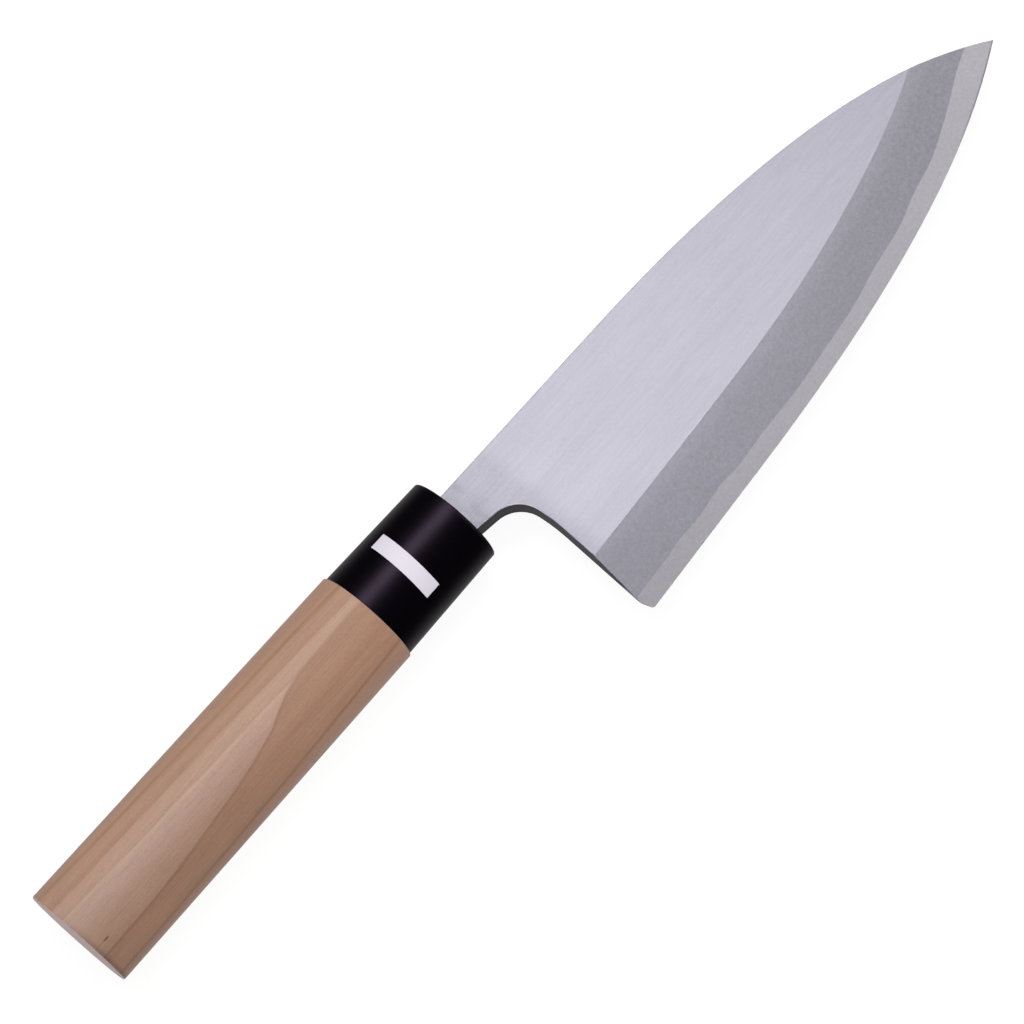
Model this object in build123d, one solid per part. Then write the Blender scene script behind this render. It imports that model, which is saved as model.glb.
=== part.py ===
from build123d import *
from math import cos, radians, sin, sqrt, tan
import os

# Deba knife: a thick fish knife, ground on one side only, with an oval wooden handle.
# It lies flat with the bevelled face up: +X runs from the handle to the tip, +Y from the
# edge to the spine, +Z from the hollow back to the bevelled face.
# While it is built, X starts at the ferrule's front face and Y and Z at the handle's axis.
# At the end all pieces move together, so that the origin is at the middle of the base.

# Wooden grip, a tapered oval: heights are measured across the blade's width
handle_length = 130.0
butt_half_height = 14.1
seam_half_height = 13.5
oval_share = 0.92
butt_rounding = 0.5

# Ferrule, a black cap with a slot for the neck
ferrule_length = 31.0
ferrule_back_half_height = 13.0
ferrule_front_half_height = 12.35
ferrule_wall = 2.0
ferrule_front_wall = 4.0
ferrule_rounding = 0.3

# Label round the ferrule
label_thickness = 0.12
label_width = 4.3
label_setback = 15.1
label_edge_side = 9.7
label_spine_side = 7.7

# Blade outline
blade_length = 163.2
blade_height = 54.55
spine_height = 5.5
edge_rise = 29.8
neck_height = 11.75
neck_slope = 7.4
neck_length = 6.9
neck_arc_radius = 7.9
neck_arc_turn = 76.4
heel_arc_radius = 50.0
heel_lean = 2.9
heel_ease_height = 3.2
heel_ease_width = 1.2
heel_ease_radius = 4.0
heel_corner_radius = 0.9
spine_tip_angle = 36.0
edge_tip_angle = 27.5
spine_straight_share = 0.247
spine_drop_shares = [(0.405, 0.018), (0.524, 0.070), (0.643, 0.166), (0.762, 0.323), (0.881, 0.579)]
edge_straight_share = (0.276, 0.105)
edge_rise_shares = [(0.405, 0.168), (0.524, 0.248), (0.643, 0.358), (0.762, 0.506), (0.881, 0.711)]

# Blade thickness, from the flat back to the flat of the front face
neck_thickness = 5.9
tip_thickness = 1.9
flat_rounding = 0.2
edge_land = 0.2
bevel_width = 17.5
bevel_width_shares = [
    (0, 1.0), (0.15, 0.99), (0.3, 0.985), (0.42, 0.975), (0.54, 0.98), (0.66, 0.995), (0.78, 1.005),
    (0.89, 1.01), (1, 1.01)]

# Hard steel layer at the back: its height over the back, from the heel to the tip
steel_height = 1.6
steel_setback = 6.0
weld_shares = [
    (0.004, 0.97), (0.046, 0.96), (0.071, 0.94), (0.102, 0.98), (0.143, 0.89), (0.183, 0.92),
    (0.212, 0.93), (0.233, 0.85), (0.292, 0.82), (0.325, 0.79), (0.378, 0.71), (0.469, 0.67),
    (0.559, 0.63), (0.597, 0.66), (0.642, 0.615), (0.695, 0.585), (0.73, 0.62), (0.784, 0.56),
    (0.827, 0.575), (0.868, 0.595), (0.93, 0.605), (0.962, 0.55)]
weld_end_share = 0.45

# Hollow in the back, an arc across the blade inside a flat rim, which runs out at both ends
hollow_arc_radius = 450.0
hollow_rim = 3.2
hollow_end_rise = 0.7
hollow_rise_shares = [
    (0.03, 1.0), (0.08, 0.45), (0.13, 0.16), (0.19, 0.03), (0.28, 0), (0.4, 0), (0.52, 0), (0.64, 0),
    (0.76, 0), (0.86, 0.04), (0.95, 0.2)]

# Tang, a tapered spike in the grip
tang_length = 95.0
tang_end_height = 4.0
tang_end_thickness = 2.4

# Fits
tenon_clearance = 0.05
tenon_gap = 0.5
bedding_gap = 0.8
slot_gap = 0.6
seal_recess = 0.3

# One overrun for all cuts
overrun = 2.0

# Places that follow from the sizes above
back_z = -neck_thickness / 2
spine_y = spine_height
neck_front_y = spine_y - neck_height
root_x = -ferrule_front_wall
root_y = neck_front_y + ferrule_front_wall * tan(radians(neck_slope))
heel_y = spine_y - blade_height


def neck_and_heel():
    """The underside from the tang's root to the edge: line, two arcs, line, and the eased corner."""
    slope = radians(neck_slope)
    start = (root_x, root_y)
    bend = (neck_length, neck_front_y - neck_length * tan(slope))
    turn = -(90 + heel_lean - neck_slope - neck_arc_turn)
    small_arc = JernArc(bend, (cos(slope), -sin(slope)), neck_arc_radius, -neck_arc_turn)
    large_arc = JernArc(small_arc @ 1, small_arc % 1, heel_arc_radius, turn)
    lean = tan(radians(heel_lean))
    corner_x = (large_arc @ 1).X - ((large_arc @ 1).Y - heel_y) * lean
    ease_start = (corner_x + heel_ease_height * lean, heel_y + heel_ease_height)
    ease_end = (corner_x + heel_ease_width, heel_y)
    heel = [Line(large_arc @ 1, ease_start), Line(ease_start, ease_end)]
    return [Line(start, bend), small_arc, large_arc, *heel]


underside = neck_and_heel()
ease_start = underside[-1] @ 0
edge_start = underside[-1] @ 1
heel_x = edge_start.X - heel_ease_width
tip_x = heel_x + blade_length
tip_y = heel_y + edge_rise
taper = (neck_thickness - tip_thickness) / tip_x


def flat_z(x):
    """Height of the front face's flat, one plane that falls from the neck to the tip."""
    return back_z + neck_thickness - taper * x


def edge_line():
    """The cutting edge: straight from the heel, then curved up to the tip."""
    share, rise_share = edge_straight_share
    bend = (heel_x + share * blade_length, heel_y + rise_share * edge_rise)
    straight = Line(edge_start, bend)
    points = [(heel_x + s * blade_length, heel_y + r * edge_rise) for s, r in edge_rise_shares]
    end = (cos(radians(edge_tip_angle)), sin(radians(edge_tip_angle)))
    return [straight, Spline(bend, *points, (tip_x, tip_y), tangents=[straight % 1, end])]


def spine_line():
    """The spine: straight from the neck, then curved down to the tip."""
    drop = spine_y - tip_y
    bend = (heel_x + spine_straight_share * blade_length, spine_y)
    straight = Line((root_x, spine_y), bend)
    points = [(heel_x + s * blade_length, spine_y - d * drop) for s, d in spine_drop_shares]
    end = (cos(radians(spine_tip_angle)), -sin(radians(spine_tip_angle)))
    return [straight, Spline(bend, *points, (tip_x, tip_y), tangents=[straight % 1, end])]


edge = edge_line()
spine = spine_line()


def blade_face():
    """Outline of blade, neck and tang, seen from above."""
    middle = (spine_y + root_y) / 2
    tang_top = (-tang_length, middle + tang_end_height / 2)
    tang_bottom = (-tang_length, middle - tang_end_height / 2)
    tang = Polyline((root_x, spine_y), tang_top, tang_bottom, (root_x, root_y))
    face = make_face([*spine, *edge, *underside, tang])
    face = fillet(face.vertices().sort_by_distance(ease_start)[0], heel_ease_radius)
    return fillet(face.vertices().sort_by_distance(edge_start)[0], heel_corner_radius)


def across_blade(face):
    """Prism of a side view, from past the spine to past the edge."""
    return extrude(Plane.XZ.offset(-spine_y - overrun) * face, blade_height + overrun * 2)


def side_prism():
    """The steel seen from the side: thickest at the ferrule's front, thinner to both ends."""
    far_x = tip_x + overrun
    half = tang_end_thickness / 2
    outline = Polyline(
        (far_x, back_z), (0, back_z), (-tang_length, -half), (-tang_length, half), (0, flat_z(0)),
        (far_x, flat_z(far_x)), close=True)
    return across_blade(make_face(outline))


def bevel_section(point, along, width):
    """Space over the bevel, on a plane square to the edge at one point of it."""
    inward = Vector(-along.Y, along.X, 0)
    low_z = back_z + edge_land
    shoulder = point + inward * width
    slope = (flat_z(shoulder.X) - low_z) / width
    plane = Plane(origin=(point.X, point.Y, low_z), x_dir=inward, z_dir=along)
    far = width + overrun
    top = neck_thickness + overrun
    corners = [(-overrun, -overrun * slope), (far, far * slope), (far, top), (-overrun, top)]
    return plane * make_face(Polyline(*corners, close=True))


def bevel_cutter():
    """Everything that grinding the bevel takes away, along the whole edge and past its ends."""
    wire = Wire(edge)
    stations = [(wire @ s, wire % s, share * bevel_width) for s, share in bevel_width_shares]
    heel_point, heel_along, heel_width = stations[0]
    tip_point, tip_along, tip_width = stations[-1]
    before = (heel_point - heel_along * overrun * 2, heel_along, heel_width)
    beyond = (tip_point + tip_along * overrun * 2, tip_along, tip_width)
    return loft([bevel_section(*station) for station in [before, *stations, beyond]])


def y_at(line, x):
    """Where an outline crosses a plane square to X."""
    cut = Line((x, -blade_height * 2), (x, blade_height))
    crossings = [point for piece in line for point in (piece.intersect(cut) or [])]
    return max(point.center().Y for point in crossings)


def across(x):
    """Plane square to X, with its own X across the blade and its own Y up."""
    return Plane(origin=(x, 0, 0), x_dir=(0, 1, 0), z_dir=(1, 0, 0))


def hollow_section(x, rise):
    """Slice of the hollow square to X: an arc from rim to rim, lowered where it runs out."""
    low = y_at(edge, x) + hollow_rim
    high = y_at(spine, x) - hollow_rim
    middle = (low + high) / 2
    half = (high - low) / 2
    reach = half + overrun
    centre_z = back_z - rise - sqrt(hollow_arc_radius ** 2 - half ** 2)
    side_z = centre_z + sqrt(hollow_arc_radius ** 2 - reach ** 2)
    floor_z = back_z - overrun
    left = (middle - reach, side_z)
    right = (middle + reach, side_z)
    arc = ThreePointArc(left, (middle, centre_z + hollow_arc_radius), right)
    rest = Polyline(right, (middle + reach, floor_z), (middle - reach, floor_z), left)
    return across(x) * make_face([arc, rest])


def hollow_cutter():
    """The shallow hollow in the back, which follows the outline inside a flat rim."""
    places = [(heel_x + s * blade_length, rise * hollow_end_rise) for s, rise in hollow_rise_shares]
    return loft([hollow_section(x, rise) for x, rise in places])


def steel_prism():
    """Space of the hard steel layer, under a weld line that waves along the blade."""
    points = [(heel_x + s * blade_length, back_z + h * steel_height) for s, h in weld_shares]
    first = (steel_setback, back_z + steel_height)
    last = (tip_x + overrun, back_z + weld_end_share * steel_height)
    floor_z = back_z - overrun
    rest = Polyline(last, (last[0], floor_z), (first[0], floor_z), first)
    face = make_face([Spline(first, *points, last), rest])
    return across_blade(face)


def whole_blade():
    """Blade, neck and tang before they are parted into the two steels."""
    blank = Pos(0, 0, back_z) * extrude(blade_face(), neck_thickness)
    return (blank & side_prism()) - bevel_cutter() - hollow_cutter()


def make_cladding():
    """Soft iron over the steel layer; the flat's rim is rounded, but for the bevel's shoulder."""
    cladding = blade - steel_space
    flat = cladding.faces().filter_by(GeomType.PLANE).sort_by(SortBy.AREA)[-1]
    shoulder = flat.edges().sort_by(SortBy.LENGTH)[-1]
    rim = flat.edges().filter_by_position(Axis.X, 0, tip_x, inclusive=(False, True)) - [shoulder]
    return fillet(rim, flat_rounding)


def tapered_oval(back_x, back_half, front_x, front_half, inset=0):
    """Solid between two ovals square to X, each drawn in by a wall."""
    ends = [(back_x, back_half), (front_x, front_half)]
    ovals = [across(x) * Ellipse(half - inset, half * oval_share - inset) for x, half in ends]
    return loft(ovals, ruled=True)


def ferrule_half(x):
    """The ferrule's half height at a place along it."""
    growth = (ferrule_back_half_height - ferrule_front_half_height) / ferrule_length
    return ferrule_front_half_height - growth * x


def ferrule_form(back_x, front_x, inset):
    """A stretch of the ferrule's tapered oval, drawn in by a wall."""
    return tapered_oval(back_x, ferrule_half(back_x), front_x, ferrule_half(front_x), inset)


def neck_slot(back_x, front_x):
    """A stretch of the slot in the front wall: the neck's section with a gap round it."""
    low = (back_x, neck_front_y - slot_gap, back_z - slot_gap)
    height = neck_height + slot_gap * 2
    depth = neck_thickness + slot_gap * 2
    return Pos(*low) * Box(front_x - back_x, height, depth, align=Align.MIN)


def make_ferrule():
    """Cap that is closed in front but for the slot, and open for the grip's tenon."""
    shell = ferrule_form(-ferrule_length, 0, 0)
    shell = fillet(shell.edges().group_by(Axis.X)[-1], ferrule_rounding)
    cavity = ferrule_form(-ferrule_length - overrun, -ferrule_front_wall, ferrule_wall)
    return shell - cavity - neck_slot(-ferrule_front_wall - overrun, overrun)


def tang_socket():
    """Space that is bored and burnt for the tang, with a gap for the resin all round."""
    mouth_height = spine_y - root_y + bedding_gap * 2
    mouth_depth = neck_thickness + bedding_gap * 2
    end_height = tang_end_height + bedding_gap * 2
    end_depth = tang_end_thickness + bedding_gap * 2
    centre = Pos((spine_y + root_y) / 2, 0)
    mouth = across(root_x) * centre * Rectangle(mouth_height, mouth_depth)
    end = across(-tang_length - bedding_gap) * centre * Rectangle(end_height, end_depth)
    return loft([mouth, end], ruled=True)


def make_grip():
    """Wooden grip with a rounded butt, a tenon for the ferrule and the tang's socket."""
    body = tapered_oval(-handle_length, butt_half_height, -ferrule_length, seam_half_height)
    body = fillet(body.edges().group_by(Axis.X)[0], butt_rounding)
    tenon_front = -ferrule_front_wall - tenon_gap
    tenon = ferrule_form(-ferrule_length, tenon_front, ferrule_wall + tenon_clearance)
    return body + tenon - tang_socket()


def make_label():
    """Blank paper band round the upper side of the ferrule."""
    back_x = -label_setback - label_width
    band = ferrule_form(back_x, -label_setback, -label_thickness) - ferrule_form(back_x, -label_setback, 0)
    size = (label_width, label_edge_side + label_spine_side, butt_half_height)
    return band & Pos(back_x, -label_edge_side, 0) * Box(*size, align=Align.MIN)


blade = whole_blade()
steel_space = steel_prism()
pieces = {
    "blade_cladding": make_cladding(),
    "edge_steel": blade & steel_space,
    "ferrule": make_ferrule(),
    "handle_grip": make_grip(),
    "tang_bedding": tang_socket() - blade,
    "neck_seal": neck_slot(-ferrule_front_wall, -seal_recess) - blade,
    "label": make_label(),
}

# Origin at the middle of the base of the whole knife
low = Vector(*[min(getattr(piece.bounding_box().min, axis) for piece in pieces.values()) for axis in "XYZ"])
high = Vector(*[max(getattr(piece.bounding_box().max, axis) for piece in pieces.values()) for axis in "XYZ"])
base = Vector((low.X + high.X) / 2, (low.Y + high.Y) / 2, low.Z)
print("base", base, "size", high - low)

os.makedirs("parts", exist_ok=True)
for name, piece in pieces.items():
    export_step(Pos(-base) * piece, f"parts/{name}.step")
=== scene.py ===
# %% [markdown]
# Deba knife, dressed for the studio
#
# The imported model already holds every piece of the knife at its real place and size. This lesson
# gives those pieces their surfaces: steel that is brushed on the flat and dull on the bevel, sanded
# wood with a figure, satin black plastic and a paper sticker. The first step loads the model.

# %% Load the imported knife
from math import atan, cos, radians, sin, tan

import bpy
import numpy as np
from mathutils import Matrix, Vector


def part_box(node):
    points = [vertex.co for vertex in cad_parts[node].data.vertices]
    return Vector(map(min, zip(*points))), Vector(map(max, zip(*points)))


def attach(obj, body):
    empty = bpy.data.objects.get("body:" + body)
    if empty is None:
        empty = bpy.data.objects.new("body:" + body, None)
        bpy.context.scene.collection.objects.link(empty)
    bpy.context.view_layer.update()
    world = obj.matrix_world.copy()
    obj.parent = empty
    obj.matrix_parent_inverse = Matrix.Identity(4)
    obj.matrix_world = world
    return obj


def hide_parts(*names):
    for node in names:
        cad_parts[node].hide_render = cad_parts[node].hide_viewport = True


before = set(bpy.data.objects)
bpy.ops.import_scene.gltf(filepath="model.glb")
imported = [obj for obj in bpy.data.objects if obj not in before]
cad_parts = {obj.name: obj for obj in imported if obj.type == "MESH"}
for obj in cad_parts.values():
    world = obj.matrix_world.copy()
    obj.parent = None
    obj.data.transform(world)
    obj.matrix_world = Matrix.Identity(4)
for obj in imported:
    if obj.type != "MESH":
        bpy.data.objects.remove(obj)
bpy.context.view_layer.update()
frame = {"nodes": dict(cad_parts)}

MM = 0.001
print("nodes:", ", ".join(frame["nodes"]))

# %% [markdown]
# A knife is measured from its own landmarks, not from the middle of its box. Here the origin moves
# to the point where the handle's axis leaves the ferrule. From there X runs to the tip, Y to the
# spine and Z up from the hollow back to the bevelled face, all in millimetres. The boxes of the
# nodes give the point, so nothing is measured twice.

# %% The knife's own origin, and the boxes in its millimetres
grip_low, grip_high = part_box("handle_grip")
ferrule_low, ferrule_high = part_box("ferrule")
grip_middle = (grip_low + grip_high) / 2
origin = Vector((ferrule_high.x, grip_middle.y, grip_middle.z))


def box_mm(node):
    """Lowest and highest corner of a node, in millimetres from the knife's own origin."""
    return [(corner - origin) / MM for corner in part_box(node)]


def in_metres(points):
    """Points in the knife's millimetres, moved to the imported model's frame in metres."""
    return np.asarray(points) * MM + np.array(origin)


for node_name in frame["nodes"]:
    low, high = box_mm(node_name)
    print(node_name, [round(v, 2) for v in low], [round(v, 2) for v in high])

# %% [markdown]
# The photographer stood over the knife with a long lens, a little towards the butt and a little
# towards the edge, so the butt's end and the underside of the neck just show. A camera could be
# aimed by hand until it fits. Here its place comes from a fit to the handle's outlines: a distance
# in millimetres, two leans and the roll of the picture in degrees, and the lens.

# %% Camera
CAMERA_DISTANCE = 900.0
LEAN_TO_BUTT = 11.8
LEAN_TO_EDGE = 15.5
AIM = Vector((9.973, -9.076, 0.0))
ROLL = 48.159
FOCAL_PIXELS = 3858.9
FRAME_PIXELS = 1024
SENSOR_WIDTH = 36.0

x_axis = Vector((1, 0, 0))
towards_camera = Vector((-tan(radians(LEAN_TO_BUTT)), -tan(radians(LEAN_TO_EDGE)), 1)).normalized()
level = (x_axis - towards_camera * towards_camera.x).normalized()
upright = towards_camera.cross(level)
turn_cos, turn_sin = cos(radians(ROLL)), sin(radians(ROLL))
camera_right = level * turn_cos - upright * turn_sin
camera_up = level * turn_sin + upright * turn_cos

camera = bpy.data.objects.new("camera", bpy.data.cameras.new("camera"))
camera.data.sensor_width = SENSOR_WIDTH
camera.data.lens = SENSOR_WIDTH * FOCAL_PIXELS / FRAME_PIXELS
camera_place = origin + (AIM + towards_camera * CAMERA_DISTANCE) * MM
camera_axes = Matrix((camera_right, camera_up, towards_camera)).transposed()
camera.matrix_world = Matrix.Translation(camera_place) @ camera_axes.to_4x4()
bpy.context.collection.objects.link(camera)
bpy.context.scene.camera = camera
print("lens", round(camera.data.lens, 2), "mm at", round(CAMERA_DISTANCE), "mm")

# %% [markdown]
# Shader maths is easier to read as an expression than as a row of nodes. A `Signal` is one output
# of a node; adding, subtracting, multiplying or dividing it writes the Math node. Every other node
# comes from `add_node`. Most masks are a `step`: a smooth climb from 0 to 1 between two values.

# %% Signals: sockets that do arithmetic
class Signal:
    """One output of a node, which sums can be written with."""

    def __init__(self, tree, socket):
        self.tree = tree
        self.socket = socket

    def maths(self, operation, *others, swapped=False):
        """A Math node on this value and the others."""
        values = [*others, self] if swapped else [self, *others]
        return add_node(self.tree, "Math", {"operation": operation}, values)

    def __add__(self, other):
        return self.maths("ADD", other)

    def __sub__(self, other):
        return self.maths("SUBTRACT", other)

    def __rsub__(self, other):
        return self.maths("SUBTRACT", other, swapped=True)

    def __mul__(self, other):
        return self.maths("MULTIPLY", other)

    def __truediv__(self, other):
        return self.maths("DIVIDE", other)

    __radd__ = __add__
    __rmul__ = __mul__


def feed(tree, socket, value):
    """Links a signal to a socket, or sets a plain value on it."""
    if isinstance(value, Signal):
        tree.links.new(value.socket, socket)
    else:
        socket.default_value = value


def add_node(tree, kind, settings=None, inputs=(), output=0):
    """A new node, as the signal of one output: settings first, then sockets, by place or name."""
    node = tree.nodes.new("ShaderNode" + kind)
    for name, value in (settings or {}).items():
        setattr(node, name, value)
    pairs = inputs.items() if isinstance(inputs, dict) else enumerate(inputs)
    for name, value in pairs:
        feed(tree, node.inputs[name], value)
    return Signal(tree, node.outputs[output])


def split(vector):
    """The three parts of a vector."""
    parts = add_node(vector.tree, "SeparateXYZ", inputs=[vector])
    return [Signal(vector.tree, socket) for socket in parts.socket.node.outputs]


def step(value, start, end):
    """0 before start, 1 after end, and a smooth climb between; start may be the larger one."""
    sockets = {"Value": value, "From Min": start, "From Max": end}
    return add_node(value.tree, "MapRange", {"interpolation_type": "SMOOTHSTEP"}, sockets)


# %% [markdown]
# A `Finish` is a material in the making. It knows the point's place in the knife's millimetres, so
# every pattern is drawn at its real size and stays on its piece when the camera moves. Colours are
# written as a picture editor shows them, because that is how they are read off a real thing.

# %% Finishes: materials in the making
class Finish:
    """A material with a Principled shader, and the nodes that vary it over the surface."""

    def __init__(self, name, **constants):
        self.material = bpy.data.materials.new(name)
        self.material.use_nodes = True
        self.tree = self.material.node_tree
        self.shader = self.tree.nodes["Principled BSDF"]
        self.set(**constants)
        coordinates = self.node("TexCoord", output="Object")
        offset = self.node("VectorMath", {"operation": "SUBTRACT"}, [coordinates, tuple(origin)])
        self.place = self.node("VectorMath", {"operation": "SCALE"}, {0: offset, "Scale": 1 / MM})
        self.x, self.y, self.z = split(self.place)

    def set(self, **sockets):
        """Sets or links the shader's own sockets; an underscore stands for a space."""
        for name, value in sockets.items():
            feed(self.tree, self.shader.inputs[name.replace("_", " ")], value)

    def node(self, kind, settings=None, inputs=(), output=0):
        """A new node of this material."""
        return add_node(self.tree, kind, settings, inputs, output)

    def noise(self, cell, detail, seed=0.0):
        """Noise from 0 to 1 whose grains measure about cell, in millimetres, along X, Y and Z."""
        scaled = self.node("VectorMath", {"operation": "DIVIDE"}, [self.place, tuple(cell)])
        moved = self.node("VectorMath", {"operation": "ADD"}, [scaled, (seed, seed * 1.7, -seed)])
        return self.node("TexNoise", inputs={"Vector": moved, "Scale": 1.0, "Detail": detail})

    def mix(self, factor, first, second):
        """A colour between two colours."""
        return self.node("Mix", {"data_type": "RGBA"}, {0: factor, 6: first, 7: second}, output=2)

    def shade(self, colour, amount):
        """A colour made lighter or darker by an amount round 1."""
        colour = colour if isinstance(colour, Signal) else colour[:3]
        return self.node("VectorMath", {"operation": "SCALE"}, {0: colour, "Scale": amount})

    def ramp(self, value, stops, interpolation="LINEAR"):
        """Colours by the place of a value among stops of (place, colour)."""
        start, end = stops[0][0], stops[-1][0]
        ramp = self.node("ValToRGB", inputs=[(value - start) / (end - start)])
        colours = ramp.socket.node.color_ramp
        colours.interpolation = interpolation
        colours.elements.remove(colours.elements[-1])
        for index, (place, colour) in enumerate(stops):
            share = (place - start) / (end - start)
            element = colours.elements[0] if index == 0 else colours.elements.new(share)
            element.position = share
            element.color = colour
        return ramp

    def bump(self, height, depth_mm):
        """Relief from a height between 0 and 1 that stands for a depth in millimetres."""
        sockets = {"Height": height, "Distance": depth_mm * MM, "Strength": 1.0}
        self.set(Normal=self.node("Bump", inputs=sockets))


def srgb(red, green, blue):
    """A colour in 0 to 255, as a picture editor shows it, as the linear light that nodes take."""
    values = np.array([red, green, blue]) / 255
    linear = np.where(values <= 0.04045, values / 12.92, ((values + 0.055) / 1.055) ** 2.4)
    return (*linear.tolist(), 1.0)


def announce(finish):
    """Prints how many nodes a finish took."""
    print("finish", finish.material.name, "takes", len(finish.tree.nodes), "nodes")


print("a mid grey of 128 is", round(srgb(128, 128, 128)[0], 3), "in linear light")

# %% [markdown]
# The handle's pieces are all rings carried along the axis. A ring can be an oval, where the piece
# is round, or nearly a rectangle, where it is a socket or a slot. One formula makes both, so a
# surface can run from the outside of the wood round its end and into the socket without a break.
# Sharp corners would look like a drawing, so each corner of the profile is eased by a small curve.

# %% Rings and eased profiles
RING_POINTS = 192
ROUND = 2
NEARLY_SQUARE = 16
SUPPORT = 1.5
turn = np.linspace(0, 2 * np.pi, RING_POINTS, endpoint=False)


def rings(stations):
    """Rings square to X, one for each station: x, half y, half z, squareness n, centre y and
    centre z. In the direction t the radius is (|cos t / half y|^n + |sin t / half z|^n)^(-1/n),
    which is an oval for n = 2 and nearly a rectangle for n = 16."""
    x, half_y, half_z, power, centre_y, centre_z = np.asarray(stations, float).T[:, :, None]
    reach = np.abs(np.cos(turn) / half_y) ** power + np.abs(np.sin(turn) / half_z) ** power
    radius = reach ** (-1 / power)
    y = centre_y + radius * np.cos(turn)
    z = centre_z + radius * np.sin(turn)
    return np.stack([np.broadcast_to(x, y.shape), y, z], axis=2)


def eased(corners, closed=False, steps=6):
    """Stations along a profile whose corners are softened; a corner ends with its own radius. A
    corner C gives way to the parabola (1-t)^2 A + 2t(1-t) C + t^2 B, where A and B lie one radius
    before and after it. One more station at SUPPORT radii on either side keeps the faces beyond
    flat."""
    count = len(corners)
    values = [np.array(corner[:-1], float) for corner in corners]
    stations = []
    for index, corner in enumerate(corners):
        here, radius = values[index], corner[-1]
        if not closed and index in (0, count - 1):
            stations.append(here)
            continue
        before, after = values[index - 1], values[(index + 1) % count]
        back = (before - here) / np.hypot(*(before - here)[:2])
        on = (after - here) / np.hypot(*(after - here)[:2])
        share = np.linspace(0, 1, steps)[:, None]
        first, last = here + back * radius, here + on * radius
        curve = (1 - share) ** 2 * first + 2 * share * (1 - share) * here + share ** 2 * last
        stations += [here + back * radius * SUPPORT, *curve, here + on * radius * SUPPORT]
    return np.array(stations)


print("one ring has", RING_POINTS, "points")

# %% [markdown]
# A grid of rings becomes a skin: four neighbours make a face, and the last column joins the first.
# A skin has to be closed, because a shape with a hole has no inside. So its two ends either meet
# each other or each close in one point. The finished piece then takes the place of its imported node.

# %% Skins
SHARP_ANGLE = radians(50)


def skin(name, grid, ends="poles"):
    """A closed mesh over a grid of rings, each ring closed on itself. The ends meet each other
    ("joined") or each closes in a point at its own middle ("poles"). The sign of the volume
    tells whether the faces look outwards, and turns them if they don't."""
    along, around = grid.shape[:2]
    points = grid.reshape(-1, 3)
    index = np.arange(along * around).reshape(along, around)
    lower = index if ends == "joined" else index[:-1]
    upper = np.roll(index, -1, axis=0) if ends == "joined" else index[1:]
    corners = [lower, np.roll(lower, -1, 1), np.roll(upper, -1, 1), upper]
    quads = np.stack(corners, axis=2).reshape(-1, 4)
    triangles = np.empty((0, 3), int)
    if ends == "poles":
        poles = grid[[0, -1]].mean(axis=1)
        points = np.vstack([points, poles])
        start, end = len(points) - 2, len(points) - 1
        first, last = index[0], index[-1]
        opening = np.stack([np.full(around, start), np.roll(first, -1), first], axis=1)
        closing = np.stack([np.full(around, end), last, np.roll(last, -1)], axis=1)
        triangles = np.vstack([opening, closing])
    halves = np.vstack([quads[:, :3], quads[:, [0, 2, 3]], triangles])
    a, b, c = points[halves].transpose(1, 0, 2)
    if np.einsum("ij,ij->i", a, np.cross(b, c)).sum() < 0:
        quads, triangles = quads[:, ::-1], triangles[:, ::-1]
    mesh = bpy.data.meshes.new(name)
    mesh.from_pydata(in_metres(points).tolist(), [], quads.tolist() + triangles.tolist())
    mesh.shade_smooth()
    mesh.set_sharp_from_angle(angle=SHARP_ANGLE)
    piece = bpy.data.objects.new(name, mesh)
    bpy.context.collection.objects.link(piece)
    print(name, len(mesh.vertices), "vertices,", len(mesh.polygons), "faces")
    return piece


def settle(piece, node, finish):
    """Puts a piece in a node's place: hides the node, gives the piece a finish and hangs it on the
    root body.
    """
    piece.data.materials.append(finish.material)
    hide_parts(node)
    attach(piece, "root")


def dress(node, finish):
    """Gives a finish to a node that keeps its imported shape."""
    frame["nodes"][node].material_slots[0].material = finish.material
    print(node, "is dressed in", finish.material.name)


# %% [markdown]
# The grip is magnolia wood, sawn so that the yearly rings run through it at a slant. On the real
# one pale bands lie along the spine's side, and a browner zone comes in from the edge's side with a
# long tongue between them. A picture of wood could be wrapped round the handle, but a solid pattern
# is better: it is worked out from the place in the wood, so it runs on round the sides and over the
# butt. Height is measured across the rings, and places along the grip from the butt.

# %% The wood's colours
GRIP_LENGTH = 130.0
RING_TILT = radians(15.5)
BAND_FALL = 0.028
PALE_BANDS = [
    (-14, (158, 120, 98)), (-9, (164, 126, 103)), (-5, (171, 135, 115)), (-2, (173, 138, 118)),
    (1.0, (181, 147, 130)), (4.1, (189, 156, 139)), (4.7, (197, 165, 144)), (5.2, (183, 148, 127)),
    (6.4, (189, 154, 134)), (8.2, (191, 156, 134)), (8.8, (178, 140, 118)),
    (10.4, (186, 148, 126)), (11.5, (182, 144, 120)), (12.2, (166, 127, 100)),
    (12.9, (180, 141, 117)), (14, (172, 134, 111))]
BROWN_BANDS = [
    (-14, (172, 135, 113)), (-12.9, (171, 132, 108)), (-12.4, (154, 113, 89)),
    (-11.9, (172, 132, 107)), (-9.5, (173, 133, 109)), (-7.0, (166, 126, 103)),
    (-4.5, (171, 132, 108)), (-1.5, (168, 129, 106)), (4, (170, 132, 110))]
TONGUE = [(0, -7.1), (16, -6.8), (26, -6.4), (37, -5.3), (48, -3.8), (56, -2.7), (64, -0.8),
          (69, 1.4), (73, 2.4), (78, 3.2), (85, 3.3), (99, 3.7)]
TONGUE_SPAN = (-12.0, 12.0)


def coloured(bands):
    """The stops of a ramp from a list of bands."""
    return [(place, srgb(*colour)) for place, colour in bands]


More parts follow.
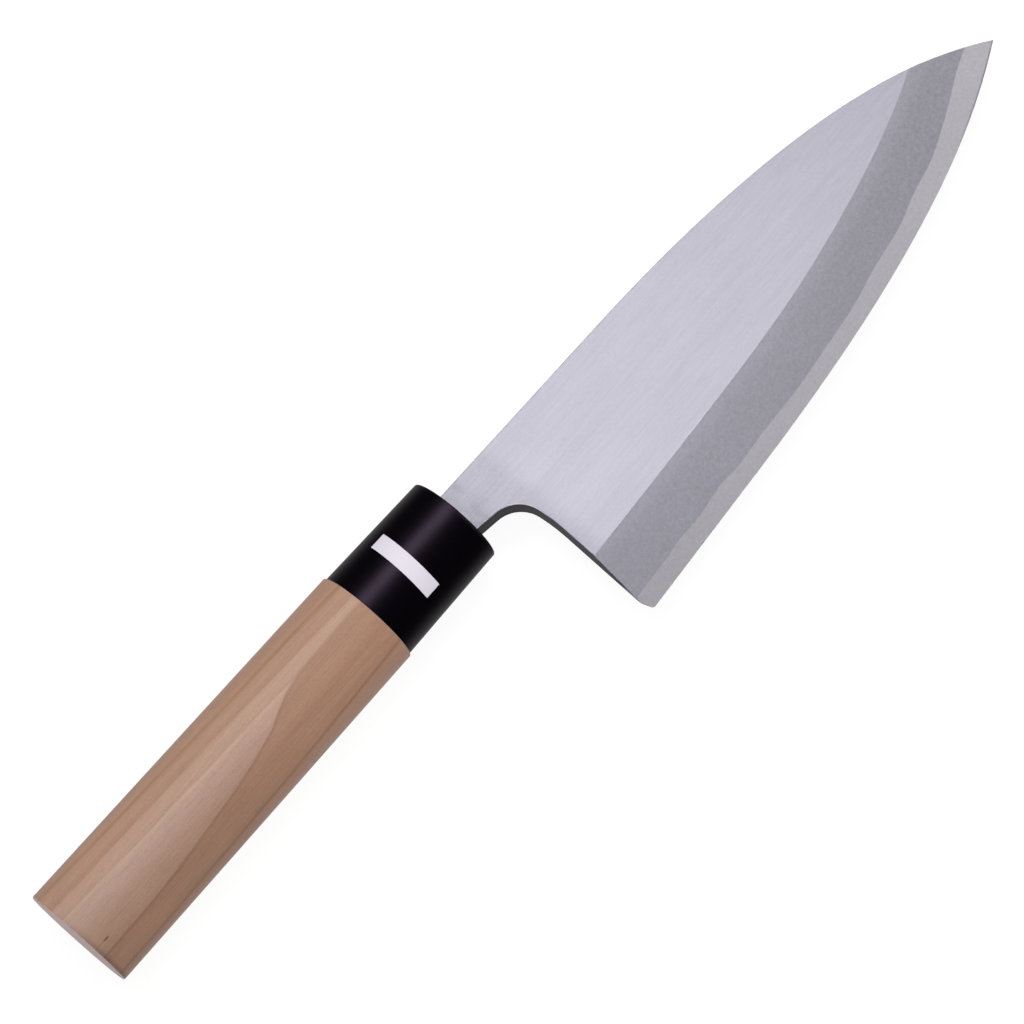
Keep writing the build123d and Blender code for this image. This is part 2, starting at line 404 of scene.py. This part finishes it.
def tongue_border(wood, from_butt):
    """Height of the browner zone's border: a smooth line through the points of TONGUE, drawn as a
    ramp of greys in which black is the lowest height of the span and white the highest."""
    low, high = TONGUE_SPAN
    greys = [(place, ((height - low) / (high - low),) * 3 + (1,)) for place, height in TONGUE]
    return wood.ramp(from_butt, greys, "B_SPLINE") * (high - low) + low


def wood_colours(wood, from_butt, height, fibre, figure):
    """Pale bands that fall a little towards the ferrule, and the browner zone under its border,
    whose own bands rise. A dark line follows the border and fades where the border blurs."""
    drift = wood.noise((60, 7, 7), detail=2) - 0.5
    along = from_butt / 100
    rise = along * 0.9 + along * along * 2.4
    pale_level = height + from_butt * BAND_FALL + drift * 1.4 + figure * 0.7
    brown_level = height - rise + figure * 0.3
    pale = wood.ramp(pale_level, coloured(PALE_BANDS))
    brown = wood.ramp(brown_level, coloured(BROWN_BANDS))

    below = tongue_border(wood, from_butt) + drift * 0.8 + figure * 0.4 + fibre * 0.3 - height
    seam_side = step(from_butt, 30.0, 90.0)
    brown = wood.shade(brown, 0.94 + seam_side * 0.10 + figure * 0.16)
    line = step(below, 1.1, 0.1) * (1 - step(from_butt, 68.0, 84.0) * 0.6)
    brown = wood.shade(brown, 1 - line * (0.20 - seam_side * 0.06))
    softness = 0.3 + step(from_butt, 62.0, 80.0) * 0.6
    return wood.mix(step(below / softness, -0.6, 0.9), pale, brown)


print("the pale zone has", len(PALE_BANDS), "bands and the brown one", len(BROWN_BANDS))

# %% [markdown]
# The wood is sanded and has no varnish, so it is dull, with fine pores along the grain and a faint
# sheen of loose fibres. One dark fleck sits near the butt. The butt's end shows the cut fibres,
# which are greyer than the sides, and is painted paler as painted light. The butt's rim is painted
# darker, a painted shade, and the top and bottom of the oval are painted lighter, a painted rim
# light.

# %% Magnolia wood
WOOD_TONE = 0.7
FLECK_X = 3.7
FLECK_HEIGHT = -4.8
FLECK_HALVES = (0.85, 0.25)
TAIL_X = 2.2
TAIL_HALF = 1.5


def dark_fleck(from_butt, height):
    """The fleck and its paler tail, each inside an ellipse: (x / a)^2 + (y / b)^2 under a limit."""
    across = (height - FLECK_HEIGHT) / FLECK_HALVES[1]
    fleck_along = (from_butt - FLECK_X) / FLECK_HALVES[0]
    tail_along = (from_butt - TAIL_X) / TAIL_HALF
    fleck = step(fleck_along * fleck_along + across * across, 1.5, 0.3)
    tail = step(tail_along * tail_along + across * across * 2, 1.4, 0.2)
    return fleck, tail


def magnolia():
    """Sanded wood: its colours, toned by fibres, pores, the fleck and the darker butt, with painted
    shade on the butt's rim and painted light on the end grain and the top and bottom of the oval.
    """
    wood = Finish("magnolia", Specular_IOR_Level=0.3)
    wood.set(Sheen_Weight=0.16, Sheen_Roughness=0.4, Sheen_Tint=srgb(240, 222, 232))
    from_butt = wood.x + GRIP_LENGTH
    height = wood.y * cos(RING_TILT) + wood.z * sin(RING_TILT)
    fibre = wood.noise((9, 0.26, 0.26), detail=3, seed=3.1) - 0.5
    figure = wood.noise((20, 1.3, 1.3), detail=2, seed=8.4) - 0.5
    dust = wood.noise((0.5, 0.35, 0.35), detail=2, seed=4.7) - 0.5
    pores = step(wood.noise((3.2, 0.14, 0.14), detail=1, seed=5.7), 0.62, 0.78)
    streaks = step(wood.noise((24, 0.4, 0.4), detail=1, seed=1.9), 0.6, 0.75)
    fleck, tail = dark_fleck(from_butt, height)

    marks = pores * 0.12 + streaks * 0.08 + fleck * 0.55 + tail * 0.14
    # Painted shade: the butt's rim is drawn darker, most on its lower half.
    rim = step(from_butt, 1.8, 0.5) * step(height, 9.0, -9.0)
    tone = WOOD_TONE * (1 + fibre * 0.36 + dust * 0.30 - marks)
    tone = tone * (1 - rim * 0.30 - step(from_butt, 18.0, 1.0) * 0.05)
    tone = tone * (1 + step(from_butt, 15.0, 80.0) * 0.05)
    # Painted light: the top and bottom of the oval are drawn lighter, a painted rim light.
    tone = tone * (1 + step(height.maths("ABSOLUTE"), 8.0, 13.0) * 0.16)
    sides = wood.shade(wood_colours(wood, from_butt, height, fibre, figure), tone)
    # The end grain is greyer, and painted paler as painted light on the butt's end.
    end_grain_and_painted_light = wood.shade(srgb(196, 176, 174), 0.95 + dust * 0.2 + figure * 0.2)
    wood.set(Base_Color=wood.mix(step(from_butt, 0.3, 0.07) * 0.74, sides, end_grain_and_painted_light))
    wood.set(Roughness=0.6 + fibre * 0.2 + pores * 0.15)
    wood.bump(0.5 + fibre * 0.6 + dust * 0.3 - pores * 0.5 - fleck * 0.5, depth_mm=0.03)
    return wood


grip_wood = magnolia()
announce(grip_wood)

# %% [markdown]
# The grip itself is one skin: from the middle of the butt over its eased rim, along the tapered
# oval, down the shoulder that meets the ferrule, along the tenon and back into the tang's socket.
# The socket has a flat end that closes in its middle. Its mouth and its depth come from the box
# of the bedding that fills it.

# %% Grip
BODY_STEPS = 24
OVAL = (grip_high.z - grip_low.z) / (grip_high.y - grip_low.y)
BUTT_RIM = 0.5
SEAM_HALF = 13.5
SEAM_RIM = 0.18
FERRULE_BACK_HALF = (ferrule_high.y - ferrule_low.y) / 2 / MM
FERRULE_FRONT_HALF = 12.35
FERRULE_WALL = 2.0
TENON_INSET = FERRULE_WALL + 0.05
FACE_RING = 1.0
SOCKET_END_HALVES = (2.8, 2.0)
SOCKET_MIDDLE_HALVES = (0.4, 0.3)

butt_x = (grip_low.x - origin.x) / MM
butt_half = (grip_high.y - grip_low.y) / 2 / MM
seam_x = (ferrule_low.x - origin.x) / MM
tenon_x = (grip_high.x - origin.x) / MM
bedding_low, bedding_high = box_mm("tang_bedding")


def oval(x, half, inset, rim):
    """A corner of the profile on an oval that is drawn in by an inset."""
    return (x, half - inset, half * OVAL - inset, ROUND, 0, 0, rim)


def ferrule_half(x):
    """The ferrule's outer half height at a place along it."""
    return FERRULE_FRONT_HALF + (FERRULE_BACK_HALF - FERRULE_FRONT_HALF) * x / seam_x


def ferrule_oval(x, inset, rim):
    """A corner of the profile on the ferrule's tapered oval, drawn in by an inset."""
    return oval(x, ferrule_half(x), inset, rim)


def grip_profile():
    """Corners from the butt's middle over the outside and the tenon to the end of the socket."""
    socket_y = (bedding_low.y + bedding_high.y) / 2
    mouth = ((bedding_high.y - bedding_low.y) / 2, (bedding_high.z - bedding_low.z) / 2)
    body = [oval(butt_x + (seam_x - butt_x) * share, butt_half + (SEAM_HALF - butt_half) * share,
                 0, BUTT_RIM)
            for share in np.linspace(0, 1, BODY_STEPS)[1:-1]]
    return [
        oval(butt_x, butt_half, butt_half * 0.9, 0),
        oval(butt_x, butt_half, butt_half * 0.5, BUTT_RIM),
        oval(butt_x, butt_half, 0, BUTT_RIM), *body, oval(seam_x, SEAM_HALF, 0, SEAM_RIM),
        ferrule_oval(seam_x, TENON_INSET, SEAM_RIM),
        ferrule_oval(tenon_x, TENON_INSET, SEAM_RIM),
        ferrule_oval(tenon_x, TENON_INSET + FACE_RING, SEAM_RIM),
        (tenon_x, *mouth, NEARLY_SQUARE, socket_y, 0, SEAM_RIM),
        (bedding_low.x, *SOCKET_END_HALVES, NEARLY_SQUARE, socket_y, 0, SEAM_RIM),
        (bedding_low.x, *SOCKET_MIDDLE_HALVES, NEARLY_SQUARE, socket_y, 0, 0)]


grip = skin("grip", rings(eased(grip_profile())))
settle(grip, "handle_grip", grip_wood)

# %% [markdown]
# Ferrules of this kind were once buffalo horn, and this one is black plastic, moulded and lightly
# polished. It shows one soft stripe of light and fine scuffs from handling, and its front edge has a
# patchy painted highlight, a little greyer. A dull black would lose the stripe, and a glossy one
# would mirror the lamp.

# %% Black plastic
def black_plastic():
    """Satin black with faint scuffs round the oval and a patchy painted highlight on the front edge.
    """
    plastic = Finish("black_plastic", Specular_IOR_Level=0.19, Specular_Tint=srgb(241, 210, 255))
    scuffs = plastic.noise((0.5, 9, 9), detail=3, seed=2.2)
    cloud = plastic.noise((9, 9, 9), detail=2, seed=6.0)
    # Painted highlight: a patchy greyer band along the front edge, for the light along that rim.
    front_edge_highlight = step(plastic.x, -1.1, -0.1) * step(cloud, 0.35, 0.7)
    colour = plastic.mix(front_edge_highlight * 0.5, srgb(3, 2, 4), srgb(36, 30, 34))
    plastic.set(Base_Color=colour, Roughness=0.35 + (scuffs - 0.5) * 0.12 + front_edge_highlight * 0.12)
    plastic.bump(scuffs, depth_mm=0.004)
    return plastic


ferrule_plastic = black_plastic()
announce(ferrule_plastic)

# %% [markdown]
# The ferrule's skin runs over the outside, round the front edge, through the slot for the neck and
# back along the inner wall to where it meets the wood. There it closes on its own beginning, so
# the cap has a real wall and a real slot, and no end that has to be filled.

# %% Ferrule
FRONT_RIM = 0.3
FRONT_FACE = 1.6
BACK_RIM = 0.15
INNER_RIM = 0.2
SLOT_RIM = 0.15
SLOT_DEPTH = 4.0
seal_low, seal_high = box_mm("neck_seal")
slot_y, slot_z = (seal_low.y + seal_high.y) / 2, (seal_low.z + seal_high.z) / 2
slot_halves = ((seal_high.y - seal_low.y) / 2, (seal_high.z - seal_low.z) / 2)


def ferrule_profile():
    """Corners from the back rim over the outside, through the slot and along the inner wall."""
    return [
        ferrule_oval(seam_x, 0, BACK_RIM),
        ferrule_oval(seam_x / 2, 0, FRONT_RIM),
        ferrule_oval(0, 0, FRONT_RIM),
        ferrule_oval(0, FRONT_FACE, INNER_RIM),
        (0, *slot_halves, NEARLY_SQUARE, slot_y, slot_z, SLOT_RIM),
        (-SLOT_DEPTH, *slot_halves, NEARLY_SQUARE, slot_y, slot_z, SLOT_RIM),
        ferrule_oval(-SLOT_DEPTH, FERRULE_WALL + FACE_RING, INNER_RIM),
        ferrule_oval(-SLOT_DEPTH, FERRULE_WALL, INNER_RIM),
        ferrule_oval(seam_x, FERRULE_WALL, BACK_RIM)]


cap = skin("ferrule_cap", rings(eased(ferrule_profile(), closed=True)), ends="joined")
settle(cap, "ferrule", ferrule_plastic)

# %% [markdown]
# A small white sticker of blank paper goes half round the ferrule. A flat sheet that is pushed onto
# the plastic would be quicker, but a thin closed strip has a real thickness: a little rectangle
# with soft corners, carried along the ferrule's oval.

# %% Sticker
STICKER_THICKNESS = 0.12
STICKER_STEPS = 64
STICKER_SKEW = 0.6
STICKER_PIVOT_SHARE = 0.75
FOOT_RADIUS = 0.01
TOP_RADIUS = 0.05
label_low, label_high = box_mm("label")


def sticker_strip():
    """Loops round the strip's section, each at one angle of the oval. Along the section the point
    is the ferrule's surface pushed out along its own normal by the section's height. It was stuck
    on by hand, so x runs a little askew from one end of the strip to the other."""
    corners = [(label_low.x, 0.0, FOOT_RADIUS), (label_low.x, STICKER_THICKNESS, TOP_RADIUS),
               (label_high.x, STICKER_THICKNESS, TOP_RADIUS), (label_high.x, 0.0, FOOT_RADIUS)]
    x, out = eased(corners, closed=True, steps=4).T
    half = ferrule_half(x)
    middle = ferrule_half((label_low.x + label_high.x) / 2)
    start, end = np.arccos(np.array([label_low.y, label_high.y]) / middle)
    share = np.linspace(0, 1, STICKER_STEPS)[:, None]
    angle = start + (end - start) * share
    x = x + STICKER_SKEW * (share - STICKER_PIVOT_SHARE)
    normal_y, normal_z = np.cos(angle) * OVAL, np.sin(angle)
    length = np.hypot(normal_y, normal_z)
    y = half * np.cos(angle) + out * normal_y / length
    z = half * OVAL * np.sin(angle) + out * normal_z / length
    return np.stack([x, y, z], axis=2)


def paper():
    """Blank coated paper with faint fibres and a faintly uneven white."""
    sheet = Finish("sticker_paper", Roughness=0.55, Specular_IOR_Level=0.35)
    fibres = sheet.noise((0.3, 0.3, 0.3), detail=3, seed=4.4)
    cloud = sheet.noise((4, 4, 4), detail=1, seed=7.7)
    tone = 0.93 + fibres * 0.08 + cloud * 0.06
    sheet.set(Base_Color=sheet.shade(srgb(202, 197, 207), tone))
    sheet.bump(fibres, depth_mm=0.008)
    return sheet


label_paper = paper()
announce(label_paper)
sticker = skin("sticker", sticker_strip())
settle(sticker, "label", label_paper)

# %% [markdown]
# The blade is two steels welded together and ground on one face only. The flat is brushed along
# the blade, so it is bright with fine lines. The bevel was ground on a stone and is dull. Below the
# weld line the hard steel shows as a paler band. The neck's underside and the heel keep the dark
# scale of the forge, and are painted darker still, a painted reflection of the dark room they face,
# with painted shade along both rims of that band. The imported blade already has these faces, so it
# keeps its shape, and its finish asks where it is: how far the point lies below the plane of the
# flat tells how deep it is in the bevel, and the direction of the face tells the bevel and the dark
# sides.

# %% The blade's measures and masks
NECK_THICKNESS = 5.9
TIP_THICKNESS = 1.9
TIP_X = box_mm("edge_steel")[1].x
TAPER = (NECK_THICKNESS - TIP_THICKNESS) / TIP_X
BACK_Z = -NECK_THICKNESS / 2
BEVEL_WIDTH = 17.5
EDGE_LAND = 0.2
HEEL_Y = box_mm("edge_steel")[0].y

# Where a change along the blade starts and where it is complete, in millimetres from the ferrule
BEVEL_FADE = (0.0, 160.0)
TIP_EDGE = (145.0, 160.0)
FORGED_PART = (26.0, 20.0)
NECK_SHADE = (19.0, 14.0)
FERRULE_SHADE = (10.0, 2.0)
HANDLE_PART = (-0.2, -0.6)

# The same across the bevel, from its shoulder and from the edge, and upwards from the heel's corner
DEEP_PART = (0.5, 5.0)
EDGE_LINE = (0.5, 0.1)
OVER_CORNER = (2.0, 10.0)

# The same for the direction of the face, as parts of its normal
LEANS_TO_EDGE = (-0.02, -0.05)
LOOKS_UP = (0.0, 0.2)
LOOKS_SIDEWAYS = (0.75, 0.35)
LOOKS_UNDER = (-0.1, -0.5)
LOOKS_TO_SPINE = (0.06, 0.3)


def bevel_masks(metal, normal_y, normal_z):
    """The bevel, its deeper part, and the dark line of the edge near the tip. A share of the drop
    from the flat's plane to the edge is the same share of the bevel's width."""
    drop = (BACK_Z + NECK_THICKNESS) - metal.x * TAPER - metal.z
    from_shoulder = drop * BEVEL_WIDTH / (NECK_THICKNESS - EDGE_LAND - metal.x * TAPER)
    from_edge = (metal.z - BACK_Z - EDGE_LAND) * BEVEL_WIDTH / (NECK_THICKNESS - metal.x * TAPER)
    bevel = step(normal_y, *LEANS_TO_EDGE) * step(normal_z, *LOOKS_UP)
    edge_line = step(from_edge, *EDGE_LINE) * step(metal.x, *TIP_EDGE) * bevel
    return bevel, step(from_shoulder, *DEEP_PART), edge_line


def forged_mask(metal, normal_x, normal_y, normal_z):
    """The dark scale, painted darker as a painted reflection of the dark room: the sides of the neck
    and the heel that look towards the edge or back to the handle, and all that is inside the handle."""
    side = step(normal_z.maths("ABSOLUTE"), *LOOKS_SIDEWAYS)
    under = step(normal_y * 0.7 + normal_x, *LOOKS_UNDER) * side
    over_corner = step(metal.y - HEEL_Y, *OVER_CORNER)
    inside = step(metal.x, *HANDLE_PART)
    return (under * step(metal.x, *FORGED_PART) * over_corner).maths("MAXIMUM", inside)


print("the flat's plane falls", round(TAPER, 4), "mm for each millimetre towards the tip")

# %% [markdown]
# Both steels share one recipe. Long noise along X draws the brushed lines of the flat, and small
# round noise the dull grain of the bevel. The flat is duller on the neck and again beside the
# ferrule, where it is smudged, and the bevel is painted darker from the heel to the tip, a painted
# shade that evens out the key lamp's light along it. The rounded rims of the spine are rough and
# half metallic, or they would mirror the dark room as a black line.

# %% Steel
FLAT_ROUGHNESS = 0.5
BEVEL_ROUGHNESS = 0.6
SCALE_ROUGHNESS = 0.62
RIM_ROUGHNESS = 0.8


def steel(name, flat_colour, bevel_colour, heel_tone, tip_tone, grain):
    """Ground steel: brushed on the flat, dull on the bevel, and dark on forged sides, whose scale is
    painted darker still as a painted reflection of the dark room. The bevel's tone runs from
    heel_tone to tip_tone, a painted shade that evens out the key lamp's light, and grain is the
    strength of its mottling."""
    metal = Finish(name)
    normal_x, normal_y, normal_z = split(metal.node("TexCoord", output="Normal"))
    bevel, deep, edge_line = bevel_masks(metal, normal_y, normal_z)
    scale = forged_mask(metal, normal_x, normal_y, normal_z)
    rim = step(normal_y.maths("MAXIMUM", normal_x * -1.0), *LOOKS_TO_SPINE) * (1 - scale)

    lines = metal.noise((11, 0.16, 0.16), detail=3, seed=1.3) - 0.5
    wisps = metal.noise((26, 0.9, 0.9), detail=2, seed=9.1) - 0.5
    cloud = metal.noise((22, 9, 9), detail=2, seed=2.7) - 0.5
    mottle = metal.noise((0.9, 0.9, 0.9), detail=3, seed=5.5) - 0.5
    grit = metal.noise((0.45, 0.3, 0.3), detail=2, seed=7.3) - 0.5
    rust = metal.noise((1.6, 1.6, 1.6), detail=3, seed=3.9)
    near_ferrule = step(metal.x, *FERRULE_SHADE)
    smudges = step(metal.noise((3.2, 7.0, 7.0), detail=2, seed=3.3), 0.35, 0.75) * near_ferrule

    brushing = lines * 0.34 + grit * 0.28 + wisps * 0.14 + cloud * 0.12
    dulling = near_ferrule * 0.10 + step(metal.x, *NECK_SHADE) * 0.12 + smudges * 0.20
    flat_tone = 1 + brushing - dulling
    stoning = mottle * 0.34 + grit * 0.28 + cloud * 0.06 + lines * 0.08
    # Painted shade: the bevel is drawn lighter at the heel and darker towards the tip, against the
    # lamp's light.
    tip_painted_shade = step(metal.x, *BEVEL_FADE) * (heel_tone - tip_tone)
    bevel_tone = (heel_tone - tip_painted_shade - deep * 0.08 + stoning * grain) * (1 - edge_line * 0.45)
    # Painted shade: the dark band is drawn darker towards both rims; its colour is scale and painted
    # reflection.
    band_rim_shade = step(metal.z.maths("ABSOLUTE"), 0.8, 2.7)
    scale_and_painted_dark = metal.shade(srgb(47, 44, 49), 0.95 + rust * 0.4 - band_rim_shade * 0.55)
    ground = metal.mix(bevel, metal.shade(flat_colour, flat_tone),
                       metal.shade(bevel_colour, bevel_tone))
    metal.set(Base_Color=metal.mix(scale, ground, scale_and_painted_dark))

    rough = FLAT_ROUGHNESS + lines * 0.10 + bevel * (BEVEL_ROUGHNESS - FLAT_ROUGHNESS)
    rough = (rough + mottle * bevel * 0.1) * (1 - rim) + rim * RIM_ROUGHNESS
    metal.set(Roughness=rough * (1 - scale) + scale * SCALE_ROUGHNESS)
    metal.set(Metallic=1 - scale * 0.9 - rim * 0.5)
    relief = (lines * 0.9 + wisps * 0.3) * (1 - bevel) + bevel * (mottle * 0.8 + lines * 0.2)
    metal.bump(0.5 + relief, depth_mm=0.006)
    return metal


soft_iron = steel("soft_iron", flat_colour=srgb(169, 167, 178), bevel_colour=srgb(215, 213, 225),
                  heel_tone=1.15, tip_tone=0.76, grain=1.0)
hard_steel = steel("hard_steel", flat_colour=srgb(182, 180, 189), bevel_colour=srgb(241, 237, 245),
                   heel_tone=1.08, tip_tone=0.84, grain=0.6)
announce(soft_iron)
announce(hard_steel)
dress("blade_cladding", soft_iron)
dress("edge_steel", hard_steel)

# %% [markdown]
# Resin holds the tang in its socket and closes the slot round the neck. Only a thin line of it
# shows in the ferrule's mouth: dark, a little glossy, with a skin that dried unevenly.

# %% Resin
def resin():
    """Dark poured resin."""
    filler = Finish("poured_resin", Specular_IOR_Level=0.4)
    skin_waves = filler.noise((1.2, 1.2, 1.2), detail=2, seed=6.6)
    filler.set(Base_Color=filler.shade(srgb(34, 29, 27), 0.8 + skin_waves * 0.4))
    filler.set(Roughness=0.3 + skin_waves * 0.2)
    filler.bump(skin_waves, depth_mm=0.05)
    return filler


poured_resin = resin()
announce(poured_resin)
dress("tang_bedding", poured_resin)
dress("neck_seal", poured_resin)

# %% [markdown]
# The knife lies on a pale table. On a photographer's light table shadows almost vanish, so this
# one glows a little too. It is only a flat square sheet. It isn't mirrored, because its glow would
# lighten the dark underside of the neck and the lower flank of the ferrule.

# %% Table
TABLE_SIZE = 8.0
TABLE_GREY = 0.1
TABLE_GLOW = 0.92


def table():
    """Lays a flat square sheet at the height of the knife's base."""
    half = TABLE_SIZE / 2
    corners = [(-half, -half, 0), (half, -half, 0), (half, half, 0), (-half, half, 0)]
    mesh = bpy.data.meshes.new("table")
    mesh.from_pydata(corners, [], [(0, 1, 2, 3)])
    top = bpy.data.objects.new("table", mesh)
    bpy.context.collection.objects.link(top)
    surface = Finish("pale_table", Roughness=0.9, Specular_IOR_Level=0.0)
    surface.set(Base_Color=(TABLE_GREY, TABLE_GREY, TABLE_GREY, 1))
    surface.set(Emission_Color=(1, 1, 1, 1), Emission_Strength=TABLE_GLOW)
    mesh.materials.append(surface.material)
    top.visible_glossy = False
    print("table", TABLE_SIZE, "m wide")


table()

# %% [markdown]
# Steel and black plastic show what they reflect. So the key lamp hangs where the flat mirrors it
# into the lens: that makes the flat bright, leaves the bevel, which tips away from it, dull, and
# draws the stripe on the ferrule. A wide sheet overhead lights wood, paper and table, but isn't
# mirrored.

# %% Lamps
LAMP_DISTANCE = 1.3
LAMP_SIZE = (0.8, 0.42)
LAMP_POWER = 7.6
LAMP_SHIFT = Vector((-0.12, 0, 0))
SHEET_OFFSET = Vector((0, -0.25, 1.6))
SHEET_SIZE = (2.6, 2.6)
SHEET_POWER = 40.0
MIDDLE = Vector((60.0, -12.0, 0.0))

flat_normal = Vector((atan(TAPER), 0, 1)).normalized()
mirrored = 2 * flat_normal.dot(towards_camera) * flat_normal - towards_camera
knife_middle = origin + MIDDLE * MM


def lamp(name, place, size, power):
    """A soft lamp that looks at the knife's middle: a rectangle whose first side lies along X."""
    back = (place - knife_middle).normalized()
    along = (x_axis - back * back.x).normalized()
    turned = Matrix((along, back.cross(along), back)).transposed()
    light = bpy.data.lights.new(name, "AREA")
    light.shape = "RECTANGLE"
    light.size, light.size_y = size
    light.energy = power
    holder = bpy.data.objects.new(name, light)
    holder.matrix_world = Matrix.Translation(place) @ turned.to_4x4()
    bpy.context.collection.objects.link(holder)
    return holder


lamp("key_lamp", knife_middle + mirrored * LAMP_DISTANCE + LAMP_SHIFT, LAMP_SIZE, LAMP_POWER)
overhead = lamp("overhead_sheet", knife_middle + SHEET_OFFSET, SHEET_SIZE, SHEET_POWER)
overhead.visible_glossy = False
print("the flat mirrors the key lamp along", [round(v, 3) for v in mirrored])

# %% [markdown]
# The room round the knife is nearly black, which keeps the ferrule black. Light comes up from the
# floor, as it would from a light table, so that the back and the bevel have something to mirror
# from low views, and a weaker glow comes from beyond the tip and the butt. The camera itself sees
# the room as plain white.

# %% Room
ROOM_LIGHT = 0.005
SIDE_GLOW = 0.4
FLOOR_GLOW = 0.45
FLOOR_LEAN = 0.15
FLOOR_FADE = (0.1, 0.7)

world = bpy.data.worlds.new("studio")
world.use_nodes = True
room = world.node_tree.nodes["Background"]
room.inputs["Color"].default_value = (1, 1, 1, 1)

ray_x, ray_y, ray_z = split(add_node(world.node_tree, "TexCoord", output="Generated"))
seen = add_node(world.node_tree, "LightPath", output="Is Camera Ray")
floor_light = step(ray_y * FLOOR_LEAN - ray_z, *FLOOR_FADE) * FLOOR_GLOW
room_light = floor_light + ray_x * ray_x * SIDE_GLOW + ROOM_LIGHT
feed(world.node_tree, room.inputs["Strength"], seen + (1 - seen) * room_light)

bpy.context.scene.world = world
bpy.context.scene.view_settings.view_transform = "Standard"
print("the room takes", len(world.node_tree.nodes), "nodes")
